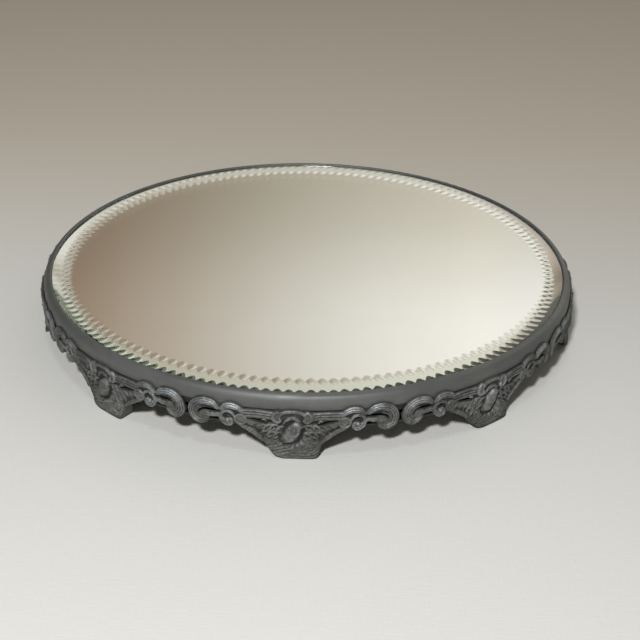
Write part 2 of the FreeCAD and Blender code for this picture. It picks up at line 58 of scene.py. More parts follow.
# ---------------------------------------------------------------- sizes that part.py also has, in millimetres
GLASS_TOP_MM, GLASS_BOTTOM_MM, GLASS_RADIUS_MM = 35.3, 29.3, 145.4  # its radius above the hidden foot
CASTING_COUNT = 9
GALLERY_RADIUS_MM = 151.5  # distances along the gallery are measured at this radius
GALLERY_OUTSIDE_MM = 152.5
UPPER_BACK_MM, LOWER_BACK_MM, SOLE_BACK_MM = 150.45, 149.0, 144.1
STEP_HEIGHT_MM = 21.9
SOLE_HEIGHT_MM = 0.4
SOLE_SLOPE_MM = 5.0, 13.2  # the foot's back slopes outwards between these heights
LIP_RING = Vector((0.0, 0.0, 0.0335))  # centre of the lip's inner edge


# ---------------------------------------------------------------- camera
def make_camera():
    """Camera at the photograph's angle: set about the lip ring, then given its own pan, tilt and roll."""
    azimuth, elevation, distance = math.radians(2.5), math.radians(26.008), 0.6984
    pan, tilt, roll = math.radians(-0.599), math.radians(-2.911), math.radians(-0.651)
    sensor_width_mm, lens_mm = 36.0, 67.79
    back = Vector((math.sin(azimuth) * math.cos(elevation), -math.cos(azimuth) * math.cos(elevation),
                   math.sin(elevation)))
    right = Vector((math.cos(azimuth), math.sin(azimuth), 0.0))
    up = (-back).cross(right) * -1
    turn = Matrix.Rotation(pan, 3, up)
    forward, right = turn @ -back, turn @ right
    turn = Matrix.Rotation(tilt, 3, right)
    forward, up = turn @ forward, turn @ up
    turn = Matrix.Rotation(roll, 3, forward)
    right, up = turn @ right, turn @ up
    data = bpy.data.cameras.new("photo_camera")
    data.sensor_width, data.lens = sensor_width_mm, lens_mm
    data.clip_start, data.clip_end = 0.01, 30.0
    camera = bpy.data.objects.new("photo_camera", data)
    bpy.context.scene.collection.objects.link(camera)
    camera.matrix_world = Matrix.Translation(LIP_RING + back * distance) @ Matrix(
        (right, up, -forward)).transposed().to_4x4()
    bpy.context.scene.camera = camera


# ---------------------------------------------------------------- mesh helpers
def new_piece(name, vertices, faces, body=None):
    """Smooth mesh object; it rides on a CAD body if one is named. faces is an array or list of polygons."""
    mesh = bpy.data.meshes.new(name)
    faces = [tuple(map(int, face)) for face in faces]
    mesh.from_pydata(np.asarray(vertices, float).tolist(), [], faces)
    mesh.validate()
    mesh.polygons.foreach_set("use_smooth", [True] * len(mesh.polygons))
    mesh.update()
    piece = bpy.data.objects.new(name, mesh)
    bpy.context.scene.collection.objects.link(piece)
    if body:
        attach(piece, body)
    return piece


def add_attribute(piece, name, values):
    attribute = piece.data.attributes.new(name, "FLOAT", "POINT")
    attribute.data.foreach_set("value", np.asarray(values, np.float32))


def lattice_noise(u, v, cell, seed):
    """Smooth random field from -1 to 1 whose features are about one cell wide."""
    size = 128  # the pattern repeats after this many cells, far more than a casting covers
    table = np.random.default_rng(seed).uniform(-1.0, 1.0, (size, size))
    x, y = u / cell + 4.0 * size, v / cell + 4.0 * size
    column, row = np.floor(x).astype(int), np.floor(y).astype(int)
    x, y = x - column, y - row
    x, y = x * x * (3 - 2 * x), y * y * (3 - 2 * y)

    def corner(i, j):
        return table[(column + i) % size, (row + j) % size]

    near = corner(0, 0) * (1 - x) + corner(1, 0) * x
    far = corner(0, 1) * (1 - x) + corner(1, 1) * x
    return near * (1 - y) + far * y


def layered_noise(u, v, cell, seed, layers=3):
    return sum(lattice_noise(u, v, cell / 2 ** k, seed + k) * 0.5 ** k for k in range(layers))


def smooth_step(low, high, x):
    t = np.clip((x - low) / (high - low), 0.0, 1.0)
    return t * t * (3 - 2 * t)


def blurred(field, sigma_cells):
    """Gaussian blur of a 2-D field, edges held."""
    reach = max(1, int(round(sigma_cells * 3)))
    kernel = np.exp(-0.5 * (np.arange(-reach, reach + 1) / sigma_cells) ** 2)
    kernel /= kernel.sum()
    for axis in (0, 1):
        pad = [(reach, reach) if a == axis else (0, 0) for a in (0, 1)]
        padded = np.pad(field, pad, mode="edge")
        count = field.shape[axis]
        field = sum(weight * np.take(padded, range(k, k + count), axis=axis)
                    for k, weight in enumerate(kernel))
    return field


# ---------------------------------------------------------------- the gallery's relief
class Relief:
    """Height and outline of one gallery casting, drawn on the unrolled cylinder. All in millimetres.

    along runs from the foot's middle, up from the floor; height is 0 to 1 of the room in front of the edge;
    outside is the signed distance from the metal, negative within it."""

    SAMPLES = 14  # along a curve, from one of its points to the next
    PAST_END_MM = 0.4  # further ahead of its nearest sample than this, a place is beyond the curve's end

    def __init__(self, half_length, top, pitch):
        self.along_line = np.arange(-half_length, half_length + pitch / 2, pitch)
        self.up_line = np.arange(SOLE_HEIGHT_MM - 1.0, top, pitch)
        self.pitch = pitch
        self.along, self.up = np.meshgrid(self.along_line, self.up_line, indexing="ij")
        bend = (0.22 * lattice_noise(self.along, self.up, 9.0, 11),
                0.18 * lattice_noise(self.along, self.up, 8.0, 12))
        self.side, self.level = np.abs(self.along) + bend[0], self.up + bend[1]  # mirrored, a little uneven
        self.height = np.full(self.along.shape, 0.10)
        self.outside = np.full(self.along.shape, 99.0)  # no metal yet

    def polygon_distance(self, corners):
        """Signed distance from a polygon that is drawn on the right half, negative inside."""
        x, y = self.side, self.level
        nearest, inside = np.full(x.shape, 1e9), np.zeros(x.shape, bool)
        for (ax, ay), (bx, by) in zip(corners, corners[1:] + corners[:1]):
            dx, dy = bx - ax, by - ay
            t = np.clip(((x - ax) * dx + (y - ay) * dy) / (dx * dx + dy * dy), 0, 1)
            nearest = np.minimum(nearest, np.hypot(x - ax - t * dx, y - ay - t * dy))
            if dy:
                inside ^= ((ay > y) != (by > y)) & (x < ax + (y - ay) * dx / dy)
        return np.where(inside, -nearest, nearest)

    def curve(self, points, widths):
        """Places near a smooth curve. Gives their mask and, for each, the signed distance across the curve,
        the distance as a share of the half width, the half width and the position along it, from 0 to 1."""
        points = np.asarray(points, float)
        ends = np.vstack([2 * points[0] - points[1], points, 2 * points[-1] - points[-2]])
        knots = np.arange(len(points) * 1.0)
        t = np.linspace(0, len(points) - 1, self.SAMPLES * (len(points) - 1) + 1)
        k = np.minimum(t.astype(int), len(points) - 2)
        f = (t - k)[:, None]
        a, b, c, d = ends[k], ends[k + 1], ends[k + 2], ends[k + 3]
        line = 0.5 * (2 * b + (c - a) * f + (2 * a - 5 * b + 4 * c - d) * f ** 2
                      + (3 * b - a - 3 * c + d) * f ** 3)
        width = np.interp(t, knots, widths)
        tangent = np.gradient(line, axis=0)
        tangent /= np.linalg.norm(tangent, axis=1)[:, None]
        reach = width.max() * 1.6 + 1.0
        near = ((self.side > line[:, 0].min() - reach) & (self.side < line[:, 0].max() + reach)
                & (self.level > line[:, 1].min() - reach) & (self.level < line[:, 1].max() + reach))
        spots = np.stack([self.side[near], self.level[near]], 1)
        # The nearest sample counts its distance in half widths, so a wide band wins over a thin one.
        gap = (spots[:, None, 0] - line[None, :, 0]) ** 2 + (spots[:, None, 1] - line[None, :, 1]) ** 2
        best = (gap / width[None, :] ** 2).argmin(1)
        offset = spots - line[best]
        ahead = (offset * tangent[best]).sum(1)
        across = tangent[best, 0] * offset[:, 1] - tangent[best, 1] * offset[:, 0]
        past_end = ((best == 0) & (ahead < 0)) | ((best == len(line) - 1) & (ahead > 0))
        past_end |= np.abs(ahead) > self.PAST_END_MM
        distance = np.where(past_end, np.hypot(ahead, across), np.abs(across))
        share = distance / width[best]
        return near, across, share, width[best], t[best] / (len(points) - 1)

    def strap(self, points, widths, height, ridges=0, depth=0.42, fade=1.0, metal=True):
        """Raised strap along a curve, rounded across, ridged along it; fade is its height at the far end."""
        near, across, share, width, position = self.curve(points, widths)
        dome = np.sqrt(np.clip(1 - np.clip(share, 0, 1) ** 2.4, 0, 1))
        if ridges:
            wave = 0.5 - 0.5 * np.cos(math.pi * ridges * (np.clip(across / width, -1, 1) + 1))
            dome = dome * (1 - depth + depth * wave)
        raised = height * dome * (1 + (fade - 1) * position)
        self.height[near] = np.where(share < 1, np.maximum(self.height[near], raised), self.height[near])
        if metal:
            self.outside[near] = np.minimum(self.outside[near], (share - 1) * width)

    def groove(self, points, widths, depth):
        """Soft furrow along a curve."""
        near, _, share, _, _ = self.curve(points, widths)
        self.height[near] -= depth * np.exp(-(share ** 2) * 1.6)

    def slot(self, points, widths):
        """Hole right through the metal along a curve."""
        near, _, share, width, _ = self.curve(points, widths)
        inside = (share - 1) * width
        self.outside[near] = np.maximum(self.outside[near], -inside)

    def ring(self, centre, radius, width, height, dome=0.0):
        """Raised ring, or a button where radius is 0; dome is the height of a swelling inside it."""
        distance = np.hypot(self.side - centre[0], self.level - centre[1])
        share = np.abs(distance - radius) / width
        raised = height * np.sqrt(np.clip(1 - share ** 2, 0, 1))
        if dome:
            raised = np.maximum(raised, dome * np.sqrt(np.clip(1 - (distance / (radius + width)) ** 2, 0, 1)))
        self.height = np.maximum(self.height, raised)
        self.outside = np.minimum(self.outside, distance - radius - width)


def draw_relief():
    """The relief that all nine castings share, read from the one that faces the camera."""
    relief = Relief(half_length=53.0, top=31.2, pitch=0.25)
    # Plain metal behind the ornament, a little inside the CAD outline so that the straps make the edge.
    wing = [(16.2, 11.0), (21.0, 14.2), (24.5, 16.4), (28.0, 18.8), (36.0, 20.4), (38.0, 20.6), (43.0, 17.9),
            (47.0, 18.4), (47.5, 25.1), (43.0, 26.8), (37.0, 26.6), (33.5, 27.4), (27.0, 27.0), (21.5, 26.2),
            (9.0, 26.5), (6.0, 26.8), (-1, 26.9)]
    right = relief.polygon_distance(
        [(-1, 0.4), (9.8, 0.4), (11.6, 1.2), (12.9, 3.2), (13.5, 5.6), (14.2, 7.8)] + wing)
    # The foot's left-hand side is cut back and its sole is lifted there.
    left = relief.polygon_distance(
        [(-1, 0.4), (4.2, 0.4), (8.2, 1.8), (10.5, 3.4), (12.2, 6.0), (13.6, 8.4)] + wing)
    relief.outside = np.where(relief.along < 0, left, right)
    side, level = relief.side, relief.level
    # The foot swells and its sole flares.
    relief.height += 0.32 * np.exp(-((side / 10.5) ** 4) - ((level - 8.5) / 8.0) ** 4)
    relief.height += 0.16 * smooth_step(3.2, 1.4, level)
    # Fan of strokes under the boss, oval cartouche on one side of the foot and long strokes on the other.
    turn, reach = np.arctan2(side, 13.6 - level), np.hypot(side, 13.6 - level)
    relief.height += (0.20 * (0.5 + 0.5 * np.cos(turn * 17)) * smooth_step(5.2, 5.9, reach)
                      * smooth_step(8.6, 7.4, reach) * smooth_step(1.5, 1.2, turn))
    right_half = smooth_step(0.5, 1.5, relief.along)
    oval = np.hypot((side - 8.4) / 1.25, level - 6.2)
    rings = 0.06 + 0.20 * (0.5 + 0.5 * np.cos(oval * 4.6))
    relief.height += right_half * smooth_step(4.3, 3.9, oval) * rings
    low = np.hypot((side - 6.0) / 2.2, level - 2.9)
    relief.height += right_half * 0.16 * np.exp(-((low - 1.2) / 0.35) ** 2)
    left_half = smooth_step(-0.5, -1.5, relief.along)
    strokes = left_half * 0.09 * np.cos((side * 0.35 + level) * 3.3) * smooth_step(13.5, 12.0, side)
    relief.height += strokes * (smooth_step(1.5, 2.5, level) * smooth_step(8.5, 7.0, level))
    # Acanthus wing: a plain plate, fingers that lap over each other, and a cord along its lower edge.
    relief.strap([(3.0, 14.35), (10.0, 16.2), (17.0, 18.0), (23.0, 19.4)],
                 [3.4, 3.6, 2.4, 1.6], 0.34, metal=False)
    for start, middle, tip, size, height in (
        ((4.4, 17.95), (6.6, 17.35), (7.8, 14.95), 1.00, 0.66),
        ((7.0, 18.95), (9.6, 18.6), (11.0, 16.2), 1.05, 0.70),
        ((10.2, 19.0), (12.6, 18.0), (13.8, 15.69), 0.95, 0.64),
        ((13.2, 18.6), (15.4, 18.0), (17.0, 16.0), 0.90, 0.60),
        ((16.4, 19.4), (18.4, 18.8), (20.0, 17.1), 0.85, 0.58),
        ((5.4, 14.24), (7.6, 14.03), (9.4, 11.95), 0.95, 0.62),
        ((8.6, 14.75), (10.8, 14.55), (12.6, 12.17), 0.90, 0.60),
        ((11.8, 14.89), (13.9, 14.67), (15.8, 12.97), 0.80, 0.56),
        ((6.4, 11.07), (8.4, 11.18), (10.4, 9.79), 0.75, 0.60),
        ((9.6, 12.06), (11.3, 11.72), (12.9, 9.91), 0.70, 0.54),
    ):
        relief.strap([start, middle, tip], [size * 0.55, size, size * 0.3], height, ridges=2, depth=0.32)
        shade = [(start[0] + 0.4, start[1] - 1.3 * size), (middle[0] - 0.3, middle[1] - 1.5 * size),
                 (tip[0] - 1.1 * size, tip[1] + 0.1)]
        relief.groove(shade, [0.28, 0.34, 0.26], 0.16)
    # Bars, straps and leaves of the wing.
    relief.strap([(8.6, 25.35), (16.0, 25.9), (24.2, 25.7)], [0.75, 0.65, 0.7], 0.60)
    relief.strap([(8.8, 24.1), (16.0, 24.2), (23.6, 24.3)], [0.65, 0.55, 0.6], 0.54)
    relief.strap([(8.4, 21.35), (11.0, 22.5), (15.5, 22.5), (22.5, 22.6)], [0.9, 0.8, 0.8, 0.9], 0.42)
    relief.strap([(14.4, 9.0), (16.6, 11.4), (20.6, 14.21), (25.6, 16.8)],
                 [0.7, 1.2, 1.3, 0.9], 0.48, ridges=2)
    relief.ring((13.6, 20.7), 0.9, 0.5, 0.66)
    relief.ring((25.1, 20.0), 2.85, 0.55, 0.60, dome=0.46)
    relief.ring((25.1, 20.0), 1.2, 0.4, 0.54)
    relief.strap([(23.4, 24.0), (25.6, 26.1), (29.0, 27.3), (32.4, 26.9), (35.0, 24.8)],
                 [0.9, 1.55, 1.9, 1.75, 0.9], 0.94, ridges=3, depth=0.55)
    # Small volute with its eye, and the arm to the large scroll.
    relief.strap([(28.1, 21.2), (29.2, 23.3), (31.6, 24.1), (33.9, 23.2), (34.9, 21.0), (34.1, 18.2),
                  (32.2, 16.5), (30.0, 16.8), (29.3, 18.7), (30.4, 19.8)],
                 [0.6, 0.8, 0.9, 1.0, 1.2, 1.35, 1.4, 1.2, 0.9, 0.7], 0.76, ridges=2, depth=0.45)
    relief.ring((31.5, 18.7), 0.0, 1.5, 0.74)
    relief.strap([(33.4, 18.8), (36.2, 20.9), (39.2, 20.49), (42.6, 20.27), (45.2, 19.94)],
                 [1.0, 1.35, 1.5, 1.5, 0.9], 0.66, ridges=2, depth=0.25)
    # Large C scroll: plate, leafy start, ridged band, eye.
    relief.ring((45.0, 20.27), 0.0, 4.6, 0.52)
    relief.strap([(36.6, 24.98), (39.6, 27.06), (43.6, 27.5), (47.0, 26.19), (49.2, 23.34), (49.5, 19.83),
                  (48.1, 16.99), (45.6, 16.0), (43.2, 16.99), (42.4, 19.07), (43.6, 20.6)],
                 [1.2, 2.0, 2.25, 2.4, 2.5, 2.5, 2.45, 2.35, 1.9, 1.3, 0.9],
                 1.0, ridges=4, depth=0.55, fade=0.66)
    relief.ring((44.9, 19.94), 0.0, 1.2, 0.64)
    # Bow or shell over the boss, and the two curls beside it.
    relief.strap([(-1.0, 26.45), (1.6, 26.45), (4.4, 25.85), (6.4, 24.55)],
                 [1.0, 1.1, 1.1, 0.8], 0.70, ridges=2, depth=0.3)
    relief.strap([(-1.0, 22.95), (1.4, 22.45), (3.4, 21.05), (4.4, 19.15)],
                 [1.0, 1.0, 0.9, 0.5], 0.55, ridges=2, depth=0.3)
    relief.ring((7.0, 23.4), 0.0, 2.6, 0.60)
    relief.strap([(5.3, 25.0), (6.9, 26.3), (8.7, 25.1), (9.0, 22.6), (7.5, 20.8), (5.7, 21.5), (6.1, 23.3)],
                 [0.6, 0.9, 1.0, 1.1, 1.1, 0.9, 0.5], 0.86)
    relief.groove([(0.8, 24.75), (3.2, 24.35), (5.4, 22.95)], [0.5, 0.6, 0.5], 0.55)
    # Boss: a bud with a cap that hangs a little askew, so it isn't mirrored; undercut all round.
    relief.side = relief.along
    relief.groove([(5.6, 17.5), (3.9, 11.9), (1.0, 8.7), (-2.6, 7.7), (-5.8, 9.6), (-6.2, 13.6)],
                  [0.6, 0.9, 0.9, 0.9, 0.9, 0.6], 0.42)
    relief.strap([(1.9, 18.3), (0.0, 15.0), (-1.9, 12.1)], [2.8, 4.0, 3.4], 1.04)
    cap = np.hypot((relief.along - 0.8) / 1.2, level - 16.4)
    relief.height += 0.10 * np.exp(-((cap - 3.0) / 0.4) ** 2) - 0.10 * np.exp(-((cap - 1.2) / 0.5) ** 2)
    relief.side = side
    # The slots that the ground shows through.
    relief.slot([(12.2, 19.3), (15.0, 19.9), (18.0, 20.4), (21.2, 20.9)], [0.4, 0.95, 0.8, 0.3])
    relief.slot([(29.0, 21.2), (31.2, 21.9), (33.5, 21.8)], [0.3, 0.62, 0.45])
    relief.slot([(35.9, 23.1), (39.6, 23.01), (43.4, 22.9), (45.8, 21.7), (46.5, 19.94)],
                [0.45, 0.62, 0.6, 0.5, 0.3])
    relief.outside = np.maximum(blurred(relief.outside, 1.2), SOLE_HEIGHT_MM - relief.up)
    return relief


def metal_cells(relief):
    """Grid cells whose middle is metal, with the outline's vertices moved onto the outline."""
    outside = relief.outside
    middle = (outside[:-1, :-1] + outside[1:, :-1] + outside[1:, 1:] + outside[:-1, 1:]) / 4
    kept = middle < 0
    i, j = np.nonzero(kept)
    rows = outside.shape[1]
    corner = lambda di, dj: (i + di) * rows + j + dj
    quads = np.stack([corner(0, 0), corner(1, 0), corner(1, 1), corner(0, 1)], 1)
    edges = np.concatenate([quads[:, [k, (k + 1) % 4]] for k in range(4)])
    key = edges[:, 0] * outside.size + edges[:, 1]
    back_key = edges[:, 1] * outside.size + edges[:, 0]
    rim = edges[~np.isin(key, back_key)]
    slope_i, slope_j = np.gradient(outside, relief.pitch)
    along, up = relief.along.copy().ravel(), relief.up.copy().ravel()
    at = np.unique(rim)
    steep = np.maximum(slope_i.ravel()[at] ** 2 + slope_j.ravel()[at] ** 2, 0.3)
    step = np.clip(outside.ravel()[at], -0.3, 0.3) / steep
    along[at] -= step * slope_i.ravel()[at]
    up[at] = np.maximum(up[at] - step * slope_j.ravel()[at], SOLE_HEIGHT_MM)
    return quads, rim, along, up


def make_castings(relief):
    """Nine closed castings with carved front, plain back and walls along the outline; their grain differs."""
    rounding_mm, step_mm = 0.8, 0.7  # width of the outline's rounded edge; height of the step in the back
    quads, rim, along, up = metal_cells(relief)
    used = np.unique(quads)
    number = np.full(relief.outside.size, -1)
    number[used] = np.arange(len(used))
    quads, rim = number[quads], number[rim]
    along, up = along[used], up[used]
    outside = np.minimum(relief.outside.ravel()[used], 0.0)
    on_rim = np.unique(rim)
    outside[on_rim] = 0.0
    low, high = SOLE_SLOPE_MM
    back = SOLE_BACK_MM + (LOWER_BACK_MM - SOLE_BACK_MM) * np.clip((up - low) / (high - low), 0, 1)
    back = back + (UPPER_BACK_MM - LOWER_BACK_MM) * smooth_step(STEP_HEIGHT_MM - step_mm, STEP_HEIGHT_MM, up)
    rounding = np.sqrt(1 - (1 - np.clip(-outside / rounding_mm, 0, 1)) ** 2)
    # Radius of the deepest ground, and of the metal's edge beside low and beside high relief.
    ground = 150.0 + 0.75 * smooth_step(19.7, STEP_HEIGHT_MM, up)
    sole = smooth_step(4.0, 1.0, up)
    low_edge, high_edge = 150.75 + 1.2 * sole, 151.35 + 0.6 * sole
    count = len(used)
    order = {int(v): k for k, v in enumerate(on_rim)}
    loop = np.array([[order[int(a)], order[int(b)]] for a, b in rim])
    for index in range(CASTING_COUNT):
        grain = (0.05 * layered_noise(relief.along, relief.up, 2.2, 40 + 10 * index)
                 + 0.085 * layered_noise(relief.along, relief.up, 0.9, 45 + 10 * index, 2))
        height = relief.height + grain
        # Poured metal: sharp creases fill a little and crests soften.
        height = 0.85 * height + 0.15 * blurred(height, 1.6)
        local = height - blurred(height, 5.0)
        wide = height - blurred(height, 14.0)
        raised = np.clip(height.ravel()[used], 0.02, 1.0)
        edge = low_edge + (high_edge - low_edge) * smooth_step(0.15, 0.5, blurred(height, 3.0).ravel()[used])
        front = edge + (ground + (GALLERY_OUTSIDE_MM - ground) * raised - edge) * rounding
        turn = along / GALLERY_RADIUS_MM + math.radians(-90 + 360 / CASTING_COUNT * index)

        def place(radius, at=slice(None)):
            angle = turn[at]
            return np.stack([radius * np.cos(angle), radius * np.sin(angle), up[at]], 1) * MM

        layers = [place(front), place(back)]
        rings = [on_rim]
        walls = []
        for share in (0.12, 0.5, 0.88):
            rings.append(sum(map(len, layers)) + np.arange(len(on_rim)))
            layers.append(place(edge[on_rim] * (1 - share) + back[on_rim] * share, on_rim))
        rings.append(count + on_rim)
        for near_ring, far_ring in zip(rings, rings[1:]):
            walls.append(np.stack([near_ring[loop[:, 1]], near_ring[loop[:, 0]], far_ring[loop[:, 0]],
                                   far_ring[loop[:, 1]]], 1))
        faces = np.concatenate([quads, quads[:, ::-1] + count] + walls)
        casting = new_piece(
            f"gallery_scrollwork_{index + 1}", np.concatenate(layers), faces, "base")
        plain = np.zeros(count + 3 * len(on_rim))
        leaves = smooth_step(26.0, 28.0, up) * smooth_step(24.0, 26.0, np.abs(along))
        leaves = leaves * smooth_step(49.0, 45.0, np.abs(along))  # their tops are rubbed most and carry the most painted highlight
        # Crests lightened in the material: partly rubbed wear, partly painted highlight.
        wear_and_highlight = smooth_step(0.03, 0.15, local.ravel()[used]) * smooth_step(0.25, 0.65, raised)
        wear_and_highlight = wear_and_highlight * (0.45 + 0.55 * leaves)
        # Darkening in the hollows and along the outline's rounded edge: dirt and painted shade.
        recess = smooth_step(0.0, 0.16, -(0.6 * local + 0.4 * wide).ravel()[used])
        recess = np.maximum(recess, smooth_step(rounding_mm, 0.1, -outside) * 0.5)
        add_attribute(casting, "wear_and_highlight", np.concatenate([wear_and_highlight, plain]))
        # The walls and back get a fixed share of that darkening, which is painted shade.
        add_attribute(casting, "recess", np.concatenate([recess, plain + 0.35]))
        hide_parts(f"gallery_casting_{index + 1}")
        casting.data.materials.append(MATERIALS["gallery_metal"])


# ---------------------------------------------------------------- the fluted mirror glass
def make_glass():
    """Bevelled plate; 158 short gouges scallop the line where the bevel starts."""
    flutes, cells = 158, 14
    # Gouges: radius at the tips, depth, slope there, its growth, and the radius of the curve across.
    tips, depth, tip_slope, swell, curve = 134.3, 0.50, 0.07, 0.012, 11.0
    bevel_start, bevel_slope, bevel_swell, edge_roll = 137.0, 0.145, 0.0055, 0.25
    roll_start = GLASS_RADIUS_MM - edge_roll
    rows = np.concatenate([[133.2, 133.9], np.linspace(tips, 140.8, 29), np.linspace(141.7, roll_start, 5)])
    turns = np.arange(flutes * cells) / (flutes * cells) * 2 * math.pi
    radius, turn = np.meshgrid(rows, turns, indexing="ij")
    run = np.clip(radius - bevel_start, 0, None)
    plain = GLASS_TOP_MM - bevel_slope * run - bevel_swell * run ** 2
    step = 2 * math.pi / flutes
    across = ((turn + step / 2) % step - step / 2) * radius
    # Ground by hand: the flutes do not all start on one line or reach equally deep.
    number = np.floor(turn / step + 0.5).astype(int) % flutes
    uneven = np.random.default_rng(7).uniform(-1.0, 1.0, (3, flutes))
    out = np.clip(radius - tips - 0.22 * uneven[0][number], 0, None)
    across = across - 0.12 * uneven[2][number]
    deep = depth * (1 + 0.08 * uneven[1][number])
    drop = deep * np.tanh((tip_slope * out + swell * out ** 2) / deep)
    flute = GLASS_TOP_MM - drop + across ** 2 / (2 * curve)
    level = np.where(radius > tips, np.minimum(plain, flute), plain)
    # Rolled top edge.
    for angle in (22.5, 45.0, 67.5, 90.0):
        roll = edge_roll * math.sin(math.radians(angle)), edge_roll * (1 - math.cos(math.radians(angle)))
        radius = np.vstack([radius, np.full((1, len(turns)), roll_start + roll[0])])
        level = np.vstack([level, level[len(rows) - 1] - roll[1]])
    # The underside lies within the silvering, so that light in the glass meets only the silver face.
    under, chamfer = GLASS_BOTTOM_MM - 0.08, 0.3
    for r, z in ((GLASS_RADIUS_MM, 33.0), (GLASS_RADIUS_MM, under + chamfer),
                 (GLASS_RADIUS_MM - chamfer, under), (120.0, under)):
        radius = np.vstack([radius, np.full((1, len(turns)), r)])
        level = np.vstack([level, np.full((1, len(turns)), z)])
    vertices = np.stack([radius * np.cos(turns), radius * np.sin(turns), level], -1).reshape(-1, 3) * MM
    count, around = radius.shape
    i, j = np.meshgrid(np.arange(count - 1), np.arange(around), indexing="ij")
    following = (j + 1) % around
    faces = np.stack([i * around + j, (i + 1) * around + j,
                      (i + 1) * around + following, i * around + following], -1).reshape(-1, 4).tolist()
    top, bottom = len(vertices), len(vertices) + 1
    vertices = np.concatenate([vertices, [(0, 0, GLASS_TOP_MM * MM), (0, 0, under * MM)]])
    last_ring = (count - 1) * around
    faces += [(top, k, (k + 1) % around) for k in range(around)]
    faces += [(bottom, last_ring + (k + 1) % around, last_ring + k) for k in range(around)]
    glass = new_piece("fluted_mirror_glass", vertices, faces, "top")
    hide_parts("mirror_glass")
    glass.data.materials.append(MATERIALS["glass"])


# ---------------------------------------------------------------- materials
class Shader:
    """Short names for the shader nodes used below."""

    def __init__(self, name, **settings):
        self.material = bpy.data.materials.new(name)
        self.material.use_nodes = True
        self.tree = self.material.node_tree
        self.surface = self.tree.nodes["Principled BSDF"]
        for socket, number in settings.items():
            self.surface.inputs[socket.replace("_", " ")].default_value = number
        self.place = self.node("ShaderNodeTexCoord").outputs["Object"]

    def node(self, kind, **settings):
        made = self.tree.nodes.new(kind)
        for key, setting in settings.items():
            setattr(made, key, setting)
        return made

    def feed(self, socket, source):
        if isinstance(source, (int, float)):
            socket.default_value = source
        elif isinstance(source, tuple):
            whole = len(source) == 4 or len(socket.default_value) == 3
            socket.default_value = source if whole else (*source, 1.0)
        else:
            self.tree.links.new(source, socket)

    def noise(self, scale, detail=3.0, roughness=0.55, distortion=0.0, place=None):
        made = self.node("ShaderNodeTexNoise")
        self.feed(made.inputs["Vector"], place or self.place)
        for key, number in (("Scale", scale), ("Detail", detail), ("Roughness", roughness),
                            ("Distortion", distortion)):
            made.inputs[key].default_value = number
        return made.outputs["Fac"]

    def cells(self, scale):
        made = self.node("ShaderNodeTexVoronoi")
        self.feed(made.inputs["Vector"], self.place)
        made.inputs["Scale"].default_value = scale
        return made.outputs["Distance"]

    def stretched(self, x, y, z):
        made = self.node("ShaderNodeMapping")
        self.feed(made.inputs["Vector"], self.place)
        made.inputs["Scale"].default_value = (x, y, z)
        return made.outputs["Vector"]

    def polar(self, radial, angular, upward):
        """Coordinates that run outwards, round and up, for marks that follow a turned piece."""
        split = self.node("ShaderNodeSeparateXYZ")
        self.feed(split.inputs[0], self.place)
        x, y, z = split.outputs
        squares = self.math("ADD", self.math("MULTIPLY", x, x), self.math("MULTIPLY", y, y))
        join = self.node("ShaderNodeCombineXYZ")
        self.feed(join.inputs[0], self.math("MULTIPLY", self.math("SQRT", squares), radial))
        self.feed(join.inputs[1], self.math("MULTIPLY", self.math("ARCTAN2", y, x), angular))
        self.feed(join.inputs[2], self.math("MULTIPLY", z, upward))
        return join.outputs[0]

    def attribute(self, name):
        return self.node("ShaderNodeAttribute", attribute_name=name).outputs["Fac"]

    def math(self, operation, a, b=0.0, clamp=False):
        made = self.node("ShaderNodeMath", operation=operation, use_clamp=clamp)
        self.feed(made.inputs[0], a)
        self.feed(made.inputs[1], b)
        return made.outputs[0]

    def spread(self, source, low, high, to_low=0.0, to_high=1.0):
        """Maps low..high onto to_low..to_high, smoothly and held at the ends."""
        made = self.node("ShaderNodeMapRange", interpolation_type="SMOOTHSTEP")
        for key, number in (("Value", source), ("From Min", low), ("From Max", high), ("To Min", to_low),
                            ("To Max", to_high)):
            self.feed(made.inputs[key], number)
        return made.outputs["Result"]

    def blend(self, share, first, second):
        made = self.node("ShaderNodeMix", data_type="RGBA")
        self.feed(made.inputs["Factor"], share)
        self.feed(made.inputs[6], first)
        self.feed(made.inputs[7], second)
        return made.outputs[2]

    def bump(self, height, distance, strength=1.0, under=None):
        made = self.node("ShaderNodeBump")
        made.inputs["Strength"].default_value = strength
        made.inputs["Distance"].default_value = distance
        self.feed(made.inputs["Height"], height)
        if under is not None:
            self.feed(made.inputs["Normal"], under)
        return made.outputs[0]

    def finish(self, **links):
        for socket, source in links.items():
            self.feed(self.surface.inputs[socket.replace("_", " ")], source)
        return self.material


